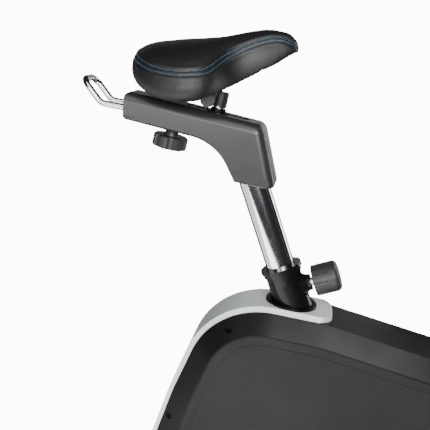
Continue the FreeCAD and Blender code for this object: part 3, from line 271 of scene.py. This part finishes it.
# Height of the crown on the middle line, and of the lower edge, along the saddle
CROWN = [(-230, 376.5), (-215, 380.5), (-193, 384), (-171, 386.5), (-139, 387.5),
         (-106, 389.5), (-92, 392), (-75, 395.5), (-54, 399.5), (-33, 402), (-16, 401), (-5, 398)]
LOWER = [(-257, 322), (-245, 316), (-225, 306), (-205, 298), (-180, 292), (-155, 290),
         (-125, 292), (-107, 298), (-88, 307), (-50, 326), (-9, 347.5), (20, 364)]
SPINE_REAR, SPINE_NOSE = -192.0, -6.0    # ends of the crown's middle line
POCKET = 342.0                           # height of the hollow's roof, over the shell
AROUND = 220                             # points round the seam
TOP_RINGS, SIDE_RINGS = 24, 14
CROWN_START = 0.04                       # first ring, as a share of the way out to the seam
CROWN_POWER, CROWN_SOFTNESS = 2.3, 0.78
VOXEL = 0.0045
SMOOTH_TURNS = 11

# Cloth run: how long, how hard, how far from the seam it is held back, and the most it may move
CLOTH_FRAMES = 20
PRESSURE = 18.0
HOLD_REACH = 0.03
PUFF_CAP = 0.003

# Stitching, in millimetres
BAND_HALF = 3.6
GROOVE_DEPTH, GROOVE_WIDTH = 1.3, 1.7
ROLL_HEIGHT, ROLL_AT, ROLL_WIDTH = 0.7, 9.0, 2.6
CREASE_REACH = 14
SEAM_POINTS = 900
STITCH, STITCH_GAP, THREAD_R = 3.4, 0.7, 0.46
THREAD_SIDES = 6


def seam_loop():
    half = curve_points(SEAM, AROUND // 2 + 1)
    right = [(x, -y, z) for x, y, z in half]
    left = [(x, y, z) for x, y, z in half[::-1]]
    return np.array(right + left[1:-1])


def saddle_mesh():
    """Rings from the crown out to the seam, down the side, under the rim and over the shell."""
    loop = seam_loop()
    count = len(loop)
    side = np.roll(loop, -1, 0)[:, :2] - np.roll(loop, 1, 0)[:, :2]
    side /= np.linalg.norm(side, axis=1)[:, None]
    out = np.stack([side[:, 1], -side[:, 0]], axis=1)
    middle = loop[:, :2].mean(0)
    if np.mean(((loop[:, :2] - middle) * out).sum(1)) < 0:
        out = -out
    wide = np.clip((np.abs(loop[:, 1]) - 30) / 60, 0, 1)
    rear = np.clip((-loop[:, 0] - 200) / 50, 0, 1)
    fat = np.maximum(wide, rear)
    spine_x = np.clip(loop[:, 0], SPINE_REAR, SPINE_NOSE)
    spine_z = blend_between(spine_x, CROWN)
    low_z = blend_between(loop[:, 0], LOWER)
    rings = []
    for t in np.linspace(CROWN_START, 1, TOP_RINGS):
        xy = np.stack([spine_x, 0 * spine_x], 1) * (1 - t) + loop[:, :2] * t
        fall = (1 - t ** CROWN_POWER) ** CROWN_SOFTNESS
        z = loop[:, 2] + (spine_z - loop[:, 2]) * fall
        rings.append(np.column_stack([xy, z]))
    for s in np.linspace(0, 1, SIDE_RINGS)[1:]:
        push = (1.5 + 5.0 * fat) * math.sin(math.pi * s * 0.8) - (2 + 9 * fat) * s ** 5
        xy = loop[:, :2] + out * push[:, None]
        z = loop[:, 2] + (low_z - loop[:, 2]) * s
        rings.append(np.column_stack([xy, z]))
    base = rings[-1]
    for pull, rise in ((3.5, -0.6), (8.0, 0.8), (11.0, 4.0)):
        rings.append(np.column_stack([base[:, :2] - out * pull * (0.35 + 0.65 * fat)[:, None],
                                      low_z + rise]))
    top = np.maximum(POCKET, low_z + 5)
    for share in (0.0, 0.35, 0.7, 0.96):
        inner = base[:, :2] - out * (12.0 * (0.35 + 0.65 * fat))[:, None]
        xy = inner * (1 - share) + np.stack([spine_x, 0 * spine_x], 1) * share
        rings.append(np.column_stack([xy, top]))
    verts = np.concatenate(rings)
    faces = []
    for r in range(len(rings) - 1):
        a, b = r * count, (r + 1) * count
        for i in range(count):
            j = (i + 1) % count
            faces.append((a + i, b + i, b + j, a + j))
    faces.append(tuple(range(count))[::-1])
    last = (len(rings) - 1) * count
    faces.append(tuple(last + i for i in range(count)))
    mesh = bpy.data.meshes.new("saddle_pad")
    mesh.from_pydata([tuple(rel(*v)) for v in verts], [], faces)
    bm = bmesh.new()
    bm.from_mesh(mesh)
    bmesh.ops.remove_doubles(bm, verts=bm.verts, dist=0.0003)
    bmesh.ops.triangulate(bm, faces=[f for f in bm.faces if len(f.verts) > 4])
    bmesh.ops.recalc_face_normals(bm, faces=bm.faces)
    bm.to_mesh(mesh)
    bm.free()
    return mesh


def use(obj):
    bpy.ops.object.select_all(action="DESELECT")
    bpy.context.view_layer.objects.active = obj
    obj.select_set(True)


def apply_all(obj):
    use(obj)
    for mod in list(obj.modifiers):
        bpy.ops.object.modifier_apply(modifier=mod.name)


def remesh(obj, size):
    mod = obj.modifiers.new("even", "REMESH")
    mod.mode = "VOXEL"
    mod.voxel_size = size
    apply_all(obj)


def inflate(obj, held):
    """Cloth run that puffs the pad's top while the sides stay on the shell."""
    pin = obj.vertex_groups.new(name="held")
    before = [v.co.copy() for v in obj.data.vertices]
    for v in obj.data.vertices:
        pin.add([v.index], held(v.co), "REPLACE")
    mod = obj.modifiers.new("puff", "CLOTH")
    mod.settings.quality = 6
    mod.settings.mass = 0.3
    mod.settings.tension_stiffness = 15
    mod.settings.compression_stiffness = 15
    mod.settings.shear_stiffness = 10
    mod.settings.bending_stiffness = 0.5
    mod.settings.use_pressure = True
    mod.settings.uniform_pressure_force = PRESSURE
    mod.settings.vertex_group_mass = "held"
    mod.settings.effector_weights.gravity = 0
    mod.point_cache.frame_start = 1
    mod.point_cache.frame_end = CLOTH_FRAMES
    for step in range(1, CLOTH_FRAMES + 1):
        bpy.context.scene.frame_set(step)
        bpy.context.view_layer.update()
    apply_all(obj)
    bpy.context.scene.frame_set(1)
    moves = [v.co - start for v, start in zip(obj.data.vertices, before)]
    print("puff: furthest move %.2f mm" % (max(m.length for m in moves) / MM))
    for v, start, move in zip(obj.data.vertices, before, moves):
        if move.length > PUFF_CAP:
            v.co = start + move * (PUFF_CAP / move.length)


def seam_tree(loop):
    tree = KDTree(len(loop))
    for i, p in enumerate(loop):
        tree.insert(rel(*p), i)
    tree.balance()
    return tree


def make_saddle():
    pad = new_object("saddle_pad", saddle_mesh(), MATS["saddle_black"], "saddle")
    remesh(pad, VOXEL)
    loop = curve_points(seam_loop(), SEAM_POINTS, closed=True)
    tree = seam_tree(loop)

    def hold(point):
        near, _, dist = tree.find(point)
        if near.z > point.z:
            return 1.0
        return 1.0 - min(1.0, dist / HOLD_REACH)

    inflate(pad, hold)
    mod = pad.modifiers.new("even_out", "SMOOTH")
    mod.factor = 0.5
    mod.iterations = SMOOTH_TURNS
    mod = pad.modifiers.new("fine", "SUBSURF")
    mod.levels = 1
    mod.render_levels = 1
    apply_all(pad)
    crease(pad, tree)
    smooth(pad)
    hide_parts("saddle_cushion")
    stitch_lines(pad, loop)


def crease(obj, tree):
    """Presses the two stitch lines into the pad and leaves the band between them proud."""
    mesh = obj.data
    normals = [v.normal.copy() for v in mesh.vertices]
    for v, normal in zip(mesh.vertices, normals):
        gap = tree.find(v.co)[2] / MM
        if gap > CREASE_REACH:
            continue
        groove = -GROOVE_DEPTH * math.exp(-((gap - BAND_HALF) / GROOVE_WIDTH) ** 2)
        roll = ROLL_HEIGHT * math.exp(-((gap - ROLL_AT) / ROLL_WIDTH) ** 2)
        v.co += normal * (groove + roll) * MM
    mesh.update()


def stitch_lines(pad, loop):
    """Two rows of short thread stitches, one on each side of the seam."""
    depsgraph = bpy.context.evaluated_depsgraph_get()
    surface = BVHTree.FromObject(pad, depsgraph)
    bm = bmesh.new()
    points = [rel(*p) for p in loop]
    count = len(points)
    for sign in (-1, 1):
        track = []
        for i in range(count):
            p = points[i]
            ahead = (points[(i + 3) % count] - points[i - 3]).normalized()
            hit, normal, _, _ = surface.find_nearest(p)
            across = normal.cross(ahead).normalized()
            # the band narrows by three tenths towards the nose
            width = BAND_HALF * (1 - 0.3 * min(1, max(0, (p.x - rel(-110, 0, 0).x) / 0.09)))
            spot = hit + across * sign * width * MM
            hit, normal, _, _ = surface.find_nearest(spot)
            track.append((hit, normal))
        lay_stitches(bm, track)
    mesh = bpy.data.meshes.new("saddle_stitches")
    bm.to_mesh(mesh)
    bm.free()
    obj = new_object("saddle_stitches", mesh, THREAD, "saddle")
    smooth(obj)


def lay_stitches(bm, track):
    """Stitches of one length along the track, with a gap after each."""
    run = 0.0
    start = 0
    count = len(track)
    for i in range(1, count + 1):
        run += (track[i % count][0] - track[i - 1][0]).length / MM
        if run >= STITCH:
            a, na = track[start]
            b, nb = track[i % count]
            add_stitch(bm, a, b, (na + nb).normalized())
            skip = 0.0
            while skip < STITCH_GAP and i < count:
                skip += (track[(i + 1) % count][0] - track[i % count][0]).length / MM
                i += 1
            start = i % count
            run = -skip


def add_stitch(bm, a, b, normal):
    """Short rounded thread that dips into the leather at both ends."""
    ahead = (b - a).normalized()
    across = normal.cross(ahead).normalized()
    rings = []
    for t, scale, lift in ((0.0, 0.45, -0.3), (0.15, 0.95, 0.25), (0.5, 1.0, 0.45),
                           (0.85, 0.95, 0.25), (1.0, 0.45, -0.3)):
        centre = a.lerp(b, t) + normal * lift * MM
        ring = []
        for k in range(THREAD_SIDES):
            angle = 2 * math.pi * k / THREAD_SIDES
            offset = across * math.cos(angle) + normal * math.sin(angle)
            ring.append(bm.verts.new(centre + offset * THREAD_R * scale * MM))
        rings.append(ring)
    for r0, r1 in zip(rings, rings[1:]):
        for k in range(THREAD_SIDES):
            j = (k + 1) % THREAD_SIDES
            bm.faces.new((r0[k], r0[j], r1[j], r1[k]))
    bm.faces.new(rings[0][::-1])
    bm.faces.new(rings[-1])


make_saddle()


# ---------------------------------------------------------------- floor, light and camera

STAGE_R, STAGE_CURVE, STAGE_H = 7.0, 1.5, 7.0
STAGE_TURNS, STAGE_BENDS = 96, 12
STAGE_GLOW = 12.0
FLOOR_DROP = 0.0005    # keeps the floor just clear of the feet

WORLD_COLOUR, WORLD_STRENGTH = (0.6, 0.62, 0.66, 1), 0.04

# Area lights: place and target in metres from the collar's rim, size in metres, power in watts
MIDDLE = (-0.1, 0, 0.15)
LIGHTS = [
    ("floor_bounce", (-1.15, -0.1, -0.4), (-0.05, 0, 0.1), (1.35, 1.0), 5.5),
    ("floor_front", (-0.25, -0.7, -0.5), (-0.1, 0, 0.3), (1.3, 0.5), 9),
    ("front", (0.55, -2.1, 0.65), MIDDLE, (1.1, 0.8), 46),
    ("arm_front", (-0.7, -2.1, 0.3), (-0.1, 0, 0.25), (1.0, 0.5), 14),
    ("right_front", (0.9, -1.5, 1.3), MIDDLE, (0.6, 0.8), 3),
    ("top", (-0.1, -1.25, 1.5), MIDDLE, (1.5, 1.2), 12),
    ("right_edge", (0.95, 0.75, 0.3), MIDDLE, (0.16, 1.4), 7),
    ("rear_rim", (-0.6, 1.5, 0.9), MIDDLE, (1.2, 0.5), 0.8),
    ("back_fill", (0.1, 2.6, 0.2), (0, 0, -0.1), (1.6, 1.0), 4),
    ("spine_rim", (0.9, 1.3, 0.8), (0.3, 0, -0.05), (0.8, 0.5), 2),
]

# The photograph's camera, fitted to the post: place in metres from the collar's rim
CAMERA_AT = (0.06715, -1.12579, 0.38763)
CAMERA_DOWN, CAMERA_TURN = 14.78, 9.3
CAMERA_LENS, CAMERA_SENSOR = 56.08, 36


def glowing_white():
    mat = material("stage_white", (0.9, 0.9, 0.9), 0.9)
    shader = mat.node_tree.nodes["Principled BSDF"]
    shader.inputs["Emission Color"].default_value = (1, 1, 1, 1)
    shader.inputs["Emission Strength"].default_value = STAGE_GLOW
    return mat


def round_backdrop():
    """Floor that curves up into a wall all round the bike."""
    profile = [(STAGE_R, 0.0)]
    for k in range(1, STAGE_BENDS + 1):
        angle = math.pi / 2 * k / STAGE_BENDS
        profile.append((STAGE_R + STAGE_CURVE * math.sin(angle),
                        STAGE_CURVE * (1 - math.cos(angle))))
    profile.append((STAGE_R + STAGE_CURVE, STAGE_H))
    bm = bmesh.new()
    rings = []
    for r, z in profile:
        turns = [2 * math.pi * k / STAGE_TURNS for k in range(STAGE_TURNS)]
        rings.append([bm.verts.new((r * math.cos(t), r * math.sin(t), z - FLOOR_DROP))
                      for t in turns])
    bm.faces.new(rings[0])
    for low, high in zip(rings, rings[1:]):
        for k in range(STAGE_TURNS):
            j = (k + 1) % STAGE_TURNS
            bm.faces.new((low[k], low[j], high[j], high[k]))
    mesh = bpy.data.meshes.new("floor")
    bm.to_mesh(mesh)
    bm.free()
    obj = bpy.data.objects.new("floor", mesh)
    bpy.context.collection.objects.link(obj)
    mesh.materials.append(glowing_white())
    smooth(obj)
    obj.visible_diffuse = False
    obj.visible_glossy = False


def softbox(name, place, target, size, power):
    """Area light at a place given in metres from the collar's rim."""
    data = bpy.data.lights.new(name, "AREA")
    data.shape = "RECTANGLE"
    data.size, data.size_y = size
    data.energy = power
    obj = bpy.data.objects.new(name, data)
    bpy.context.collection.objects.link(obj)
    obj.location = RIM + Vector(place)
    aim = Vector(target) - Vector(place)
    obj.rotation_euler = aim.to_track_quat("-Z", "Y").to_euler()
    obj.visible_camera = False


def set_light():
    world = bpy.data.worlds.new("studio")
    world.use_nodes = True
    background = world.node_tree.nodes["Background"]
    background.inputs["Color"].default_value = WORLD_COLOUR
    background.inputs["Strength"].default_value = WORLD_STRENGTH
    bpy.context.scene.world = world
    for light in LIGHTS:
        softbox(*light)


def set_camera():
    data = bpy.data.cameras.new("camera")
    data.lens = CAMERA_LENS
    data.sensor_width = CAMERA_SENSOR
    obj = bpy.data.objects.new("camera", data)
    bpy.context.collection.objects.link(obj)
    obj.location = RIM + Vector(CAMERA_AT)
    obj.rotation_euler = (math.radians(90 - CAMERA_DOWN), 0, math.radians(CAMERA_TURN))
    bpy.context.scene.camera = obj


round_backdrop()
set_light()
set_camera()
